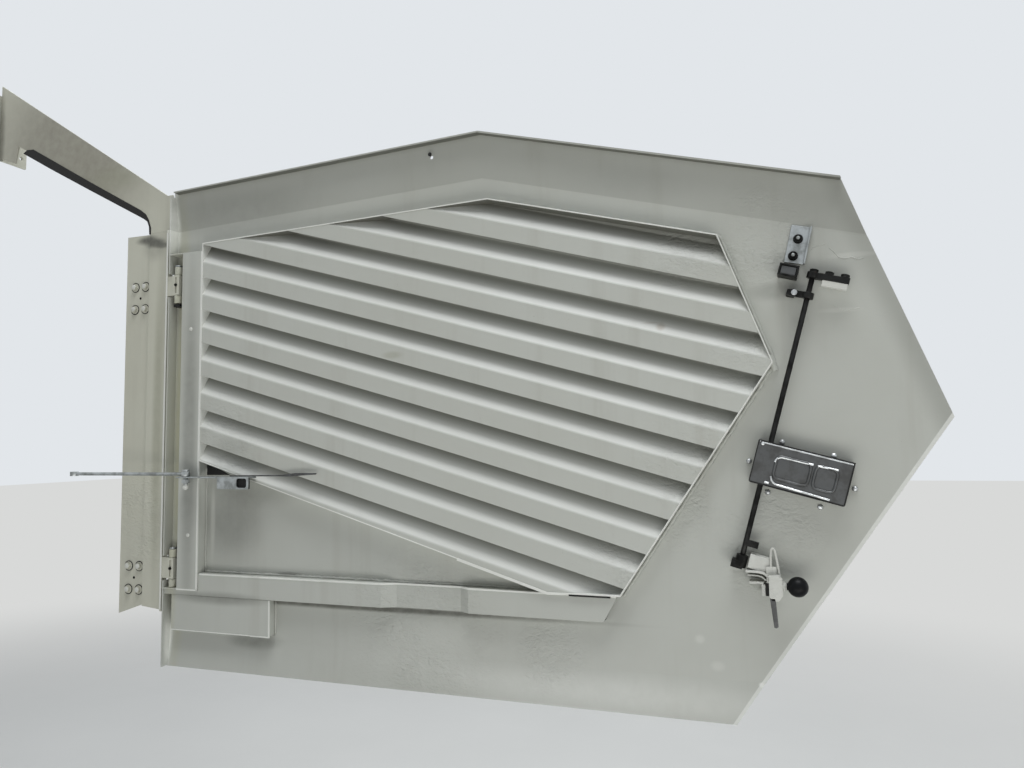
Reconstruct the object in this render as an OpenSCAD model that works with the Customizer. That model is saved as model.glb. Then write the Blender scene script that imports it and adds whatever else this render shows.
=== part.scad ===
// Louvred side door of a road milling machine, hung on its hinge post.
// The door stands open. X runs along the door away from the hinge, Z is up,
// and the machine's inside is towards -Y. Until placed() moves it, the zero
// point is the door's lower hinge corner on the inner face of its sheet.

/* [Door sheet] */
// Thickness of the door's sheet
sheet = 4; // [3:0.5:6]
// Height of the hinge edge
edge_height = 1420; // [1380:5:1480]
// Distance from the hinge edge to the peak of the top edge
peak_x = 1012; // [900:5:1100]
// Height of the peak
peak_z = 1464; // [1440:5:1500]
// Distance from the hinge edge to the upper outer corner
shoulder_x = 1884; // [1850:5:1950]
// Height of the upper outer corner
shoulder_z = 1231; // [1200:5:1280]
// Distance from the hinge edge to the outer tip
tip_x = 2088; // [2040:5:2160]
// Height of the outer tip
tip_z = 686; // [620:5:740]
// Distance from the hinge edge to the lower outer corner
toe_x = 1619; // [1560:5:1640]
// Width of the folded rim along the top
top_rim = 120; // [90:5:130]
// Width of the folded rim along the bottom
bottom_rim = 95; // [70:5:105]
// Angle by which both rims lean in
rim_fold = 7; // [4:0.5:9]
// Depth of the lip along the top edges
lip = 22; // [16:1:26]
// Distance of the lip's start from the hinge edge
lip_start = 15; // [10:1:30]
// Space left at the end of a lip that ends at a corner
lip_relief = 1; // [1:0.5:3]
// Depth of the flange along the hinge edge
edge_flange = 33; // [30:1:34]
// Radius of the drain hole in the top rim
drain_r = 5; // [3:0.5:8]
// Distance of the drain hole from the hinge edge
drain_x = 867; // [500:5:950]
// Distance of the drain hole below the top edge
drain_drop = 40; // [36:1:60]
// Distance of the hinge edge's flange below the top edge
flange_drop = 14; // [8:1:20]

/* [Louvre] */
// Wall of the louvre's frame
louvre_wall = 3; // [2:0.5:4]
// Height by which the louvre stands in from the door's sheet
louvre_stand = 35; // [30:1:40]
// Height of the louvre's lower left corner
louvre_low = 600; // [560:5:640]
// Distance of the louvre's upper left corner below the top edge
louvre_drop = 172; // [165:1:190]
// Distance from the hinge edge to the louvre's peak
louvre_peak_x = 1037; // [960:5:1080]
// Height of the louvre's peak
louvre_peak_z = 1277; // [1265:2:1290]
// Distance from the hinge edge to the louvre's upper right corner
louvre_shoulder_x = 1612; // [1560:5:1640]
// Height of the louvre's upper right corner
louvre_shoulder_z = 1123; // [1080:5:1130]
// Distance from the hinge edge to the louvre's tip
louvre_tip_x = 1725; // [1690:5:1735]
// Height of the louvre's tip
louvre_tip_z = 817; // [780:5:850]
// Distance from the hinge edge to the louvre's lower right corner
louvre_toe_x = 1363; // [1340:2:1390]
// Distance from the hinge edge to the corner where the bottom turns level
louvre_knee_x = 1183; // [1140:5:1220]
// Number of slats
slats = 9; // [6:1:9]
// Distance between slats, square to their length
slat_pitch = 94; // [90:1:97]
// Slope of the slats
slat_slope = 16.2; // [14:0.2:17]
// Height of the lowest slat's edge at the louvre's left side
slat_start = 700; // [690:1:710]
// Thickness of a slat
slat_sheet = 3; // [2:0.5:4]
// Height of a slat's front lip
slat_lip = 42; // [36:1:46]
// Rise of a slat's sloping web
slat_rise = 52; // [46:1:56]
// Height of a slat's rear lip
slat_rear = 20; // [10:1:24]

/* [Stiffener] */
// Thickness of the stiffener's sheet
bar_sheet = 3; // [2:0.5:4]
// Height of the stiffener's lower face
bar_low = 212; // [205:1:218]
// Height of the stiffener's upper face
bar_high = 275; // [270:1:275]
// Depth of the stiffener
bar_depth = 30; // [26:1:33]
// Depth of the stiffener in its dip
dip_depth = 12; // [8:1:16]
// Start of the dip
dip_start = 723; // [650:5:760]
// Length of the dip, with its two slopes
dip_length = 249; // [200:5:280]
// Length of the dip's first slope
dip_slope_near = 38; // [25:1:45]
// Length of the dip's second slope
dip_slope_far = 27; // [20:1:45]
// End of the stiffener at its lower face
bar_end = 1321; // [1280:5:1340]
// Lean of the stiffener's cut end
bar_cut = 34; // [20:1:45]

/* [Corner pocket] */
// Height of the pocket's lower edge
pocket_low = 112; // [105:1:130]
// Length of the pocket
pocket_length = 368; // [300:4:420]
// Depth of the pocket
pocket_depth = 28; // [22:1:30]
// Distance of the corner pocket's near end from the hinge edge
pocket_start = 30; // [20:1:44]

/* [Hinge channel] */
// Sheet of the channel
channel_sheet = 3; // [2:0.5:4]
// Depth of the channel
channel_depth = 35; // [34:1:38]
// Start of the channel's front face
channel_start = 53; // [50:1:60]
// Outer side of the channel
channel_end = 126; // [118:1:130]
// Height of the channel's lower end
channel_low = 227; // [224:1:230]
// Distance of the channel's upper end below the top edge
channel_drop = 195; // [188:1:205]

/* [Hinges] */
// Distance of the hinge axis from the door's hinge edge
hinge_x = 26; // [25:0.5:28]
// Distance of the hinge axis in from the door's sheet
hinge_in = 20; // [19:0.5:21]
// Distance of the upper hinge below the channel's upper end
hinge_drop = 95; // [70:1:110]
// Distance of the lower hinge above the channel's lower end
hinge_rise = 59; // [58:1:80]
// Radius of the hinge pin
pin_r = 6; // [5:0.5:6.5]
// Gap all round the pin
pin_gap = 0.05; // [0.02:0.01:0.1]
// Outer radius of the hinge knuckles
knuckle_r = 11; // [10:0.5:12]
// Height of the fixed knuckle
knuckle_h = 60; // [40:2:70]
// Height of each knuckle on the door
ear_h = 24; // [18:1:30]
// Gap between the knuckles
knuckle_gap = 1; // [0.5:0.5:2]
// Thickness of the hinge leaf
leaf_sheet = 6; // [5:0.5:8]
// Thickness of the hinge pin's head
head_h = 4; // [3:0.5:6]
// Gap round the fixed leaf in the door's hinge edge
swing_gap = 6; // [5:0.5:8]
// Rim of the leaf round its bolts
leaf_rim = 18; // [14:1:22]
// Width of the slot in the fixed knuckle's face
slot_width = 6; // [4:0.5:8]
// Depth of that slot
slot_depth = 3; // [2:0.5:4]
// Thickness of the pad under the door's knuckles
pad_sheet = 4; // [3:0.5:4]

/* [Hinge post] */
// Thickness of the post's sheet
post_sheet = 6; // [5:0.5:8]
// Distance of the post's near edge from the door
post_gap = 12; // [12:1:16]
// Width of the post's raised face
post_face = 86; // [78:1:94]
// Height by which that face is raised
post_raise = 10; // [6:1:14]
// Depth of the turned edge beside the door
post_turn = 14; // [10:1:18]
// Width of the post's bolting flange
post_flange = 88; // [80:1:100]
// Height of the post's lower end
post_low = 158; // [150:1:170]
// Drop of the bolting flange's outer lower corner
post_drop = 20; // [0:1:30]
// Height of the bolting flange's top
post_high = 1305; // [1290:1:1320]
// Distance of the bolts from the flange's inner bend
bolt_edge = 32; // [28:1:40]
// Radius of the bolt holes
bolt_r = 6.5; // [5.5:0.5:7]
// Distance between bolts across the post
bolt_across = 40; // [36:1:44]
// Distance between bolts up the post
bolt_up = 70; // [60:1:76]
// Height of the lower bolts
bolts_low = 247; // [240:1:256]
// Height of the upper bolts
bolts_high = 1106; // [1090:2:1130]

/* [Frame arm] */
// Horizontal reach of the arm
arm_reach = 730; // [500:2:800]
// Slope of the arm's upper edge
arm_slope = 33; // [30:0.5:36]
// Slope of the arm's lower edge
arm_under_slope = 29; // [24:0.5:30]
// Height of the post's head
arm_top = 1419; // [1412:1:1430]
// Width of the level top of the post's head
arm_level = 21; // [16:1:30]
// Drop from the post's head to the arm's inner corner
arm_neck = 72; // [60:2:84]
// Radius of the inner corner
arm_corner = 50; // [30:2:60]
// Length of the arm's foot at its outer end
arm_foot = 75; // [50:5:100]
// Depth of the arm's turned edge
arm_turn = 88; // [70:1:88]
// Thickness of the arm's end plate
end_sheet = 10; // [8:1:14]
// Width of the arm's end plate
end_width = 110; // [100:2:140]
// Height of the arm's end plate
end_height = 262; // [256:2:300]
// Distance between the end plate's bolts across
end_across = 70; // [60:1:80]
// Distance between the end plate's bolts up
end_up = 160; // [140:2:170]
// Distance of the end plate below the arm's tip
end_drop = 36; // [20:2:44]

/* [Stay] */
// Radius of the stay rod
stay_r = 5; // [4:0.5:6]
// Distance of the stay rod in from the door's sheet
stay_in = 70; // [66:1:76]
// Distance of the stay's pivot from the door's hinge edge
pivot_x = 112; // [106:1:118]
// Length of the stay rod between its eyes
stay_length = 424; // [380:2:440]
// Radius of the stay's pivot pin
pivot_r = 6; // [5:0.5:7]
// Radius of the bore in the rod's free eye
eye_r = 6; // [5:0.5:8]
// Wall round the bores of the rod's eyes
eye_wall = 6; // [4:0.5:8]
// Thickness of the rod's eyes
eye_h = 13; // [12:0.5:16]
// Gap between the rod's eye and the shelf under it
eye_gap = 1; // [0.5:0.5:2]
// Height of the shelf's upper face
shelf_z = 556; // [540:1:562]
// Thickness of the shelf
shelf_sheet = 8; // [6:0.5:10]
// Width of the shelf
shelf_width = 45; // [40:1:50]
// Distance from the hinge edge to the shelf's near end
shelf_start = 84; // [70:2:90]
// Distance from the hinge edge to the shelf's far end
shelf_end = 336; // [300:4:360]
// Length of the rod clip under the shelf
clip_length = 106; // [90:2:120]
// Height of the rod clip
clip_height = 30; // [24:1:36]
// Wall of the rod clip
clip_wall = 4; // [3:0.5:5]
// Depth of the rod clip
clip_depth = 10; // [8:1:14]
// Distance of the clip's window from its near end
window_start = 66; // [50:2:70]
// Length of the clip's window
window_length = 32; // [20:2:34]
// Distance from the hinge edge to the tip of the prong
prong_end = 536; // [480:4:560]
// Distance from the rod's axis to the prong behind it
prong_gap = 18; // [18:0.5:22]
// Thickness of the prong
prong_sheet = 5; // [4:0.5:6]
// Height of the prong
prong_height = 8; // [6:1:12]
// Length of the pivot pin below the shelf
pivot_tail = 22; // [18:1:30]
// Height of the pivot's nut
nut_h = 10; // [8:1:12]
// Radius of the pivot's nut over its corners
nut_r = 11; // [10:0.5:13]
// Radius of the pivot pin's head
pivot_head_r = 10; // [8:0.5:12]
// Height of the pivot pin's head
pivot_head_h = 5; // [4:0.5:7]
// Gap over the rod's eye
top_gap = 1; // [0.5:0.5:2]

/* [Latch] */
// Lean of the latch rod from upright
rod_lean = 15.4; // [14:0.1:17]
// Radius of the latch rod
rod_r = 6; // [5:0.5:7]
// Distance of the rod's axis in from the door's sheet
rod_in = 26; // [24:1:28]
// Distance of the rod's foot from the lower outer corner
rod_foot_out = 18; // [10:1:26]
// Height of the rod's foot
rod_foot_z = 356; // [350:1:362]
// Gap round the rod in its bores
rod_gap = 0.1; // [0.05:0.01:0.1]
// Gap round the rod where it enters the lock case
case_gap = 3; // [2:0.5:4]
// Length of the lock case
case_length = 205; // [200:1:212]
// Height of the lock case
case_height = 97; // [88:1:100]
// Depth of the lock case
case_depth = 38; // [36:1:44]
// Sheet of the lock case
case_sheet = 2; // [1.5:0.5:3]
// Distance of the lock case up the rod
case_start = 193; // [180:1:206]
// Distance from the rod's axis to the lock case's near end
case_side = 26; // [22:1:30]
// Height of the beads pressed in the lock case
bead_rise = 2; // [1:0.5:3]
// Width of those beads
bead_width = 6; // [4:0.5:8]
// Distance of the beads from the case's lower edge
bead_low = 18; // [14:1:22]
// Distance of the beads from the case's upper edge
bead_high = 22; // [18:1:26]
// Outer radius of the beads' corners
bead_corner = 14; // [10:1:18]
// Start of the first bead
bead_start = 44; // [36:1:50]
// Length of the first bead
bead_first = 80; // [70:1:86]
// Length of the second bead
bead_second = 52; // [44:1:60]
// Space between the two beads
bead_space = 4; // [3:0.5:8]
// Height of the hook bar and the other collars on the rod
collar_h = 14; // [12:1:16]
// Radius of the collars
collar_r = 13; // [11:0.5:14]
// Reach of the hook bar from the rod's axis
hook_reach = 78; // [70:1:86]
// Width of the hook bar
hook_width = 18; // [14:1:20]
// Start of the pad under the hook bar
pad_start = 22; // [18:1:28]
// Height of the pad under the hook bar
pad_h = 14; // [10:1:16]
// Width of the lugs on the rod
lug_width = 12; // [10:1:14]
// Reach of the rod's lug from its axis
lug_reach = 28; // [24:1:32]
// Distance of the rod's lug from its foot
lug_start = 50; // [44:1:60]
// Distance of the guide from the rod's head
guide_drop = 61; // [56:1:70]
// Reach of the guide from the rod's axis
guide_reach = 46; // [40:1:52]
// Length of the guide's foot on the sheet
guide_foot = 18; // [14:1:24]
// Distance of the catch block from the upper outer corner along the door
catch_in = 143; // [130:1:150]
// Distance of the catch block below the upper outer corner
catch_drop = 215; // [205:1:225]
// Lean of the catch block from upright
block_lean = 16; // [12:0.5:20]
// Width of the catch block
block_width = 43; // [38:1:46]
// Height of the catch block
block_height = 28; // [24:1:32]
// Depth of the catch block
block_depth = 40; // [34:1:44]
// Wall of the catch block
block_wall = 4; // [3:0.5:5]
// Lean of the catch plate from upright
plate_lean = 13; // [10:0.5:16]
// Width of the catch plate
plate_width = 46; // [40:1:50]
// Height of the catch plate
plate_height = 88; // [80:1:92]
// Sheet of the catch plate
plate_sheet = 4; // [3:0.5:5]
// Depth of the catch plate's turned edge
plate_turn = 16; // [12:1:20]
// Distance of the catch plate from the block along the door
plate_side = 16; // [12:1:20]
// Distance of the catch plate above the block's lower corner
plate_rise = 34; // [33:1:40]
// Width of the handle's mount
mount_width = 46; // [40:1:50]
// Height of the handle's mount
mount_height = 32; // [28:1:36]
// Depth of the handle's mount
mount_depth = 34; // [30:1:40]
// Gap between the rod's foot and the handle's mount
mount_gap = 3; // [2:0.5:6]
// Distance of the mount's lower face up the rod
mount_start = 4; // [0:1:10]
// Distance from the rod's foot to the handle
handle_x = 63; // [58:1:70]
// Width of the handle's body
handle_width = 28; // [24:1:32]
// Height of the handle's body
handle_height = 54; // [46:1:60]
// Depth of the handle's body
handle_depth = 16; // [12:1:20]
// Distance of the handle's lower end below the rod's foot
handle_drop = 68; // [62:1:74]
// Sheet of the link between mount and handle
link_sheet = 6; // [4:0.5:8]
// Height of that link
link_height = 36; // [30:1:40]
// Length of the handle's blade
blade_length = 58; // [48:1:66]
// Width of the handle's blade
blade_width = 11; // [8:1:14]
// Sheet of the handle's blade
blade_sheet = 5; // [4:0.5:6]
// Radius of the handle's stem
stem_r = 7; // [5:0.5:9]
// Length of the handle's stem
stem_length = 8; // [6:1:14]
// Height of the stem's axis below the rod's foot
stem_drop = 36; // [30:1:44]
// Radius of the ball's neck
neck_r = 8; // [6:0.5:10]
// Length of the ball's neck
ball_neck = 1; // [0.5:0.5:3]
// Radius of the handle's ball
ball_r = 22; // [18:0.5:24]

/* [Hidden] */
$fn = 64;

paint = [0.72, 0.73, 0.68];
dark_steel = [0.25, 0.25, 0.26];
zinc = [0.62, 0.64, 0.66];
white_paint = [0.85, 0.86, 0.83];

// Where the holding bolts meet the machine: the zero point of the finished part
post_bend_x = -post_gap - post_face - post_raise;
bolts_x = post_bend_x - bolt_edge;
hold_y = post_sheet + leaf_sheet;

// The point where the line a-b crosses the line c-d
function meet(a, b, c, d) = a + cross(c - a, d - c) / cross(b - a, d - c) * (b - a);
// The unit vector to the left of the line a-b
function left_of(a, b) = [a.y - b.y, b.x - a.x] / norm(b - a);
// An outline that runs anticlockwise, with each side moved in by its own width
function inset(points, widths) = [
    for (i = [0:len(points) - 1])
        let (n = len(points), a = points[(i + n - 1) % n], b = points[i], c = points[(i + 1) % n],
            u = left_of(a, b) * widths[(i + n - 1) % n], v = left_of(b, c) * widths[i])
            meet(a + u, b + u, b + v, c + v)];
function inset_all(points, width) = inset(points, [for (p = points) width]);
// The other side of a bent strip of sheet, on the left of its path
function strip_side(path, w) = [
    for (i = [0:len(path) - 1])
        let (last = len(path) - 1)
            i == 0 ? path[0] + left_of(path[0], path[1]) * w :
            i == last ? path[last] + left_of(path[last - 1], path[last]) * w :
            let (u = left_of(path[i - 1], path[i]) * w, v = left_of(path[i], path[i + 1]) * w)
                meet(path[i - 1] + u, path[i] + u, path[i] + v, path[i + 1] + v)];
function backwards(points) = [for (i = [len(points) - 1:-1:0]) points[i]];
// The outline of a bent strip of sheet, w thick
function strip(path, w) = concat(path, backwards(strip_side(path, w)));

// A flat outline in X and Z becomes a plate from y0 to y1
module upright(y0, y1) translate([0, y1, 0]) rotate([90, 0, 0]) linear_extrude(y1 - y0) children();
// A profile in Y and Z runs along X
module along_x(length) rotate([90, 0, 90]) linear_extrude(length) children();
// A profile in X and Y stands from z0 to z1
module standing(z0, z1) translate([0, 0, z0]) linear_extrude(z1 - z0) children();
// A round bar along Y
module bar_y(r, y0, y1) translate([0, y1, 0]) rotate([90, 0, 0]) cylinder(r = r, h = y1 - y0);
// The finished part's zero point is at the upper bolts
module placed() translate([-bolts_x, -hold_y, -bolts_high]) children();

channel_high = edge_height - channel_drop;
louvre_high = edge_height - louvre_drop;
hinge_high = channel_high - hinge_drop;
hinge_low = channel_low + hinge_rise;

hinge_edge_low = [0, 0];
hinge_edge_high = [0, edge_height];
peak = [peak_x, peak_z];
shoulder = [shoulder_x, shoulder_z];
tip = [tip_x, tip_z];
toe = [toe_x, 0];

// The creases where the rims fold in
low_crease = [[0, bottom_rim], meet([0, bottom_rim], [1, bottom_rim], toe, tip)];
rim_left = left_of(peak, hinge_edge_high) * top_rim;
rim_right = left_of(shoulder, peak) * top_rim;
crease_peak = meet(hinge_edge_high + rim_left, peak + rim_left, peak + rim_right, shoulder + rim_right);
crease_left = meet(hinge_edge_high + rim_left, peak + rim_left, hinge_edge_low, hinge_edge_high);
crease_right = meet(peak + rim_right, shoulder + rim_right, shoulder, tip);
middle = [low_crease[0], low_crease[1], tip, crease_right, crease_peak, crease_left];

louvre_outline = [
    [channel_end, louvre_low], [louvre_knee_x, bar_high], [louvre_toe_x, bar_high],
    [louvre_tip_x, louvre_tip_z], [louvre_shoulder_x, louvre_shoulder_z],
    [louvre_peak_x, louvre_peak_z], [channel_end, louvre_high]];

// One rim of the door, leaning in from the sheet: its corners run anticlockwise, a and b on the crease
module rim(a, b, c, d, lipped, near_end) {
    along = (b - a) / norm(b - a);
    out = left_of(a, b);
    flat = [for (p = [a, b, c, d]) [(p - a) * along, (p - a) * out / cos(rim_fold)]];
    turn = atan2(along.y, along.x);
    translate([a.x, sheet, a.y]) rotate([0, -turn, 0]) rotate([rim_fold, 0, 0])
        translate([0, -sheet, 0]) {
            upright(0, sheet) polygon(flat);
            if (lipped) upright(-lip, 0) difference() {
                polygon(inset(flat, [0, lip_relief, 0, near_end]));
                polygon(inset(flat, [-lip, -lip, sheet, -lip]));
            }
        }
}

// The notch in the hinge edge's flange lets the fixed leaf swing clear
module hinge_notch(z) {
    half = knuckle_h / 2 + swing_gap;
    deep = edge_flange - hinge_in + leaf_sheet / 2 + swing_gap;
    translate([-1, -edge_flange - 1, z - half]) cube([sheet + 2, deep + 1, 2 * half]);
}

// A point of the hinge edge's flange, d in from the outer face of a rim, s short of the rim's free edge
function flange_point(width, s, d) = [
    sheet - (width / cos(rim_fold) - s) * sin(rim_fold) - d * cos(rim_fold), s * cos(rim_fold) + d * sin(rim_fold)];
function high(point) = [point.x, edge_height - point.y];

module door_sheet() color(paint) {
    difference() {
        upright(0, sheet) polygon(middle);
        upright(-1, sheet + 1) polygon(louvre_outline);
    }
    difference() {
        rim(crease_left, crease_peak, peak, hinge_edge_high, true, lip_start);
        translate([drain_x, 0, edge_height + drain_x * (peak_z - edge_height) / peak_x - drain_drop])
            bar_y(drain_r, -top_rim, top_rim);
    }
    rim(crease_peak, crease_right, shoulder, peak, true, lip_relief);
    rim(low_crease[1], low_crease[0], hinge_edge_low, toe, false, 0);
    difference() {
        along_x(sheet) polygon([
            [-edge_flange, sheet / 2], flange_point(bottom_rim, sheet / 2, sheet / 2),
            [sheet / 2, bottom_rim], [sheet / 2, crease_left.y],
            high(flange_point(top_rim, flange_drop, sheet / 2)), [-edge_flange, edge_height - flange_drop]]);
        for (z = [hinge_low, hinge_high]) hinge_notch(z);
    }
}

module hinge_channel() color(paint) {
    standing(channel_low, channel_high) polygon(strip(
        [[channel_start, -channel_depth], [channel_end, -channel_depth], [channel_end, 0]], channel_sheet));
    for (z = [channel_low, channel_high - channel_sheet])
        translate([sheet, -channel_depth, z]) cube([channel_end - sheet, channel_depth, channel_sheet]);
}

// A slat's section: front lip, web that rises outwards, and rear lip flush with the door's sheet
slat_path = [
    [-louvre_stand, -slat_lip], [-louvre_stand, 0], [sheet - slat_sheet, slat_rise],
    [sheet - slat_sheet, slat_rise + slat_rear]];
slat_run = norm([louvre_tip_x, louvre_high]);

module louvre() color(paint) {
    difference() {
        upright(-louvre_stand, sheet) polygon(louvre_outline);
        upright(-louvre_stand - 1, sheet + 1) polygon(inset_all(louvre_outline, louvre_wall));
    }
    // The lowest web has no front lip of its own: the frame's bottom cuts it off
    intersection() {
        upright(-louvre_stand, sheet) polygon(inset_all(louvre_outline, louvre_wall / 2));
        translate([channel_end, 0, slat_start]) rotate([0, slat_slope, 0])
            for (i = [-1:slats - 1])
                translate([-slat_run / 2, 0, i * slat_pitch]) along_x(2 * slat_run)
                    polygon(backwards(strip(slat_path, -slat_sheet)));
    }
}

// The stiffener seen from above, with its dip
bar_path = [
    [0, -bar_depth], [dip_start, -bar_depth], [dip_start + dip_slope_near, -dip_depth],
    [dip_start + dip_length - dip_slope_far, -dip_depth], [dip_start + dip_length, -bar_depth],
    [bar_end + bar_cut, -bar_depth]];
module bar_section(w, z0, z1) {
    path = strip_side(bar_path, w);
    standing(z0, z1) polygon(concat(path, [[path[len(path) - 1].x, 0], [path[0].x, 0]]));
}

module stiffener() color(paint) intersection() {
    difference() {
        bar_section(0, bar_low, bar_high);
        bar_section(bar_sheet, bar_low + bar_sheet, bar_high - bar_sheet);
    }
    upright(-channel_depth, 0) polygon([
        [sheet, bar_low], [bar_end, bar_low], [bar_end + bar_cut, bar_high],
        [channel_end, bar_high], [channel_end, channel_low], [sheet, channel_low]]);
}

module corner_pocket() color(paint) {
    standing(pocket_low, bar_low) polygon(strip([[pocket_start, 0], [pocket_start, -pocket_depth],
        [sheet + pocket_length, -pocket_depth], [sheet + pocket_length, 0]], bar_sheet));
}

// The fixed leaf: bolted behind the post, then bent round its edge to the pin
module leaf(z, bolts_z) color(paint) {
    reach = bolt_across / 2 + leaf_rim;
    tall = bolt_up / 2 + leaf_rim;
    arm = knuckle_h / 2;
    front = -hinge_in - leaf_sheet / 2;
    difference() {
        union() {
            intersection() {
                standing(min(z - arm, bolts_z - tall), max(z + arm, bolts_z + tall)) polygon(strip(
                    [[bolts_x - reach, post_sheet], [-post_gap, post_sheet], [-post_gap, front], [hinge_x, front]],
                    leaf_sheet));
                upright(-hinge_in - knuckle_r, hold_y + 1) polygon([
                    [bolts_x - reach, bolts_z - tall], [bolts_x + reach, bolts_z - tall],
                    [bolts_x + reach + arm, z - arm], [hinge_x, z - arm], [hinge_x, z + arm],
                    [bolts_x + reach + arm, z + arm], [bolts_x + reach, bolts_z + tall],
                    [bolts_x - reach, bolts_z + tall]]);
            }
            translate([hinge_x, -hinge_in, z - arm]) cylinder(r = knuckle_r, h = knuckle_h);
            translate([hinge_x - knuckle_r, -hinge_in - knuckle_r, z - arm])
                cube([2 * knuckle_r, knuckle_r, knuckle_h]);
        }
        translate([hinge_x, -hinge_in, z - arm - 1]) cylinder(r = pin_r + pin_gap, h = knuckle_h + 2);
        translate([hinge_x - slot_width / 2, -hinge_in - knuckle_r - 1, z - arm + slot_width])
            cube([slot_width, slot_depth + 1, knuckle_h - 2 * slot_width]);
        bolt_holes(bolts_z);
    }
}
module leaf_high() leaf(hinge_high, bolts_high);
module leaf_low() leaf(hinge_low, bolts_low);

ear_start = knuckle_h / 2 + knuckle_gap;
module hinge_pin(z) color(zinc) {
    half = ear_start + ear_h;
    translate([hinge_x, -hinge_in, z - half]) {
        cylinder(r = pin_r, h = 2 * half + knuckle_gap);
        translate([0, 0, 2 * half + knuckle_gap]) cylinder(r = knuckle_r, h = head_h);
    }
}
module pin_high() hinge_pin(hinge_high);
module pin_low() hinge_pin(hinge_low);

// The moving half of a hinge: two knuckles on a pad against the door's sheet
pad_half = hinge_x - 2 * sheet;
module ears(z) color(paint) difference() {
    union() {
        for (side = [0, 1]) mirror([0, 0, side]) translate([0, 0, side ? -z : z]) {
            translate([hinge_x, -hinge_in, ear_start]) cylinder(r = knuckle_r, h = ear_h);
            translate([hinge_x - knuckle_r, -hinge_in, ear_start]) cube([2 * knuckle_r, hinge_in, ear_h]);
        }
        translate([hinge_x - pad_half, -pad_sheet, z - ear_start - ear_h])
            cube([2 * pad_half, pad_sheet, 2 * (ear_start + ear_h)]);
    }
    translate([hinge_x, -hinge_in, z - ear_start - ear_h - 1])
        cylinder(r = pin_r + pin_gap, h = 2 * (ear_start + ear_h) + 2);
}
module ears_high() ears(hinge_high);
module ears_low() ears(hinge_low);

module bolt_holes(z) for (x = [-1, 1], up = [-1, 1])
    translate([bolts_x + x * bolt_across / 2, 0, z + up * bolt_up / 2]) bar_y(bolt_r, -post_raise, hold_y + 1);

post_turn_x = -post_gap - post_sheet;
module hinge_post() color(paint) difference() {
    intersection() {
        standing(post_low - post_drop, post_high) polygon(strip(
            [[post_bend_x - post_flange, 0], [post_bend_x, 0], [post_bend_x + post_raise, -post_raise],
            [post_turn_x, -post_raise], [post_turn_x, -post_raise - post_turn]], post_sheet));
        upright(-post_raise - post_turn, post_sheet) polygon([
            [post_bend_x - post_flange, post_low - post_drop], [post_bend_x, post_low + post_drop / 2],
            [-post_gap, post_low], [-post_gap, post_high], [post_bend_x - post_flange, post_high]]);
    }
    bolt_holes(bolts_low);
    bolt_holes(bolts_high);
}

// The arm's outer end, its upper edge and its inner corner
arm_near_x = -post_gap - arm_level;
arm_far_x = arm_near_x - arm_reach;
arm_far_z = arm_top + arm_reach * tan(arm_slope);
arm_side_x = post_bend_x + post_raise;
arm_inner_z = arm_top - arm_neck;
function under(x) = arm_inner_z + (arm_side_x - x) * tan(arm_under_slope);
arm_centre = [arm_side_x - arm_corner,
    arm_inner_z + arm_corner * (tan(arm_under_slope) - 1 / cos(arm_under_slope))];
arm_heel = [arm_far_x + arm_foot + 12, under(arm_far_x + arm_foot + 12)];
arm_under = concat([arm_heel],
    [for (i = [0:8]) arm_centre + arm_corner * [cos((90 - arm_under_slope) * (1 - i / 8)), sin((90 - arm_under_slope) * (1 - i / 8))]],
    [[arm_side_x, post_high]]);

module frame_arm() color(paint) {
    upright(-post_raise, post_sheet - post_raise) polygon(concat(arm_under, [
        [-post_gap, post_high], [-post_gap, arm_top], [arm_near_x, arm_top],
        [arm_far_x, arm_far_z], [arm_far_x, arm_far_z - end_height + 6],
        [arm_far_x + arm_foot, arm_far_z - end_height - 22]]));
    upright(-post_raise, arm_turn - post_raise) polygon(strip(arm_under, post_sheet));
}

// The end plate stands square to the arm, centred on its depth
arm_mid = arm_turn / 2 - post_raise;
end_rise = end_height - end_drop;
module arm_plate() color(paint) difference() {
    translate([arm_far_x - end_sheet, arm_mid - end_width / 2, arm_far_z - end_height])
        cube([end_sheet, end_width, end_rise]);
    for (y = [-1, 1], z = [-1, 1])
        translate([arm_far_x - end_sheet - 1, arm_mid + y * end_across / 2,
            arm_far_z - end_height + end_rise / 2 + z * end_up / 2])
            rotate([0, 90, 0]) cylinder(r = bolt_r, h = end_sheet + 2);
}

rod_z = shelf_z + eye_gap + eye_h / 2;
shelf_low = shelf_z - shelf_sheet;
module stay_shelf() color(zinc) {
    difference() {
        translate([shelf_start, -channel_depth - shelf_width, shelf_low])
            cube([shelf_end - shelf_start, shelf_width, shelf_sheet]);
        translate([pivot_x, -stay_in, shelf_low - 1]) cylinder(r = pivot_r + pin_gap, h = shelf_sheet + 2);
    }
    // The clip: a hanging plate with a window in it
    translate([shelf_end - clip_length, -channel_depth - shelf_width, shelf_low - clip_height]) difference() {
        cube([clip_length, clip_depth, clip_height]);
        translate([window_start, -1, clip_wall]) cube([window_length, clip_depth + 2, clip_height - 2 * clip_wall]);
    }
    translate([shelf_end - clip_length, -stay_in + prong_gap, shelf_z])
        cube([prong_end - shelf_end + clip_length, prong_sheet, prong_height]);
}

module stay_pin() color(zinc) translate([pivot_x, -stay_in, shelf_low]) {
    high = shelf_sheet + eye_gap + eye_h + top_gap;
    translate([0, 0, -pivot_tail]) cylinder(r = pivot_r, h = pivot_tail + high);
    translate([0, 0, -nut_h]) cylinder(r = nut_r, h = nut_h, $fn = 6);
    translate([0, 0, high]) cylinder(r = pivot_head_r, h = pivot_head_h);
}

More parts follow.
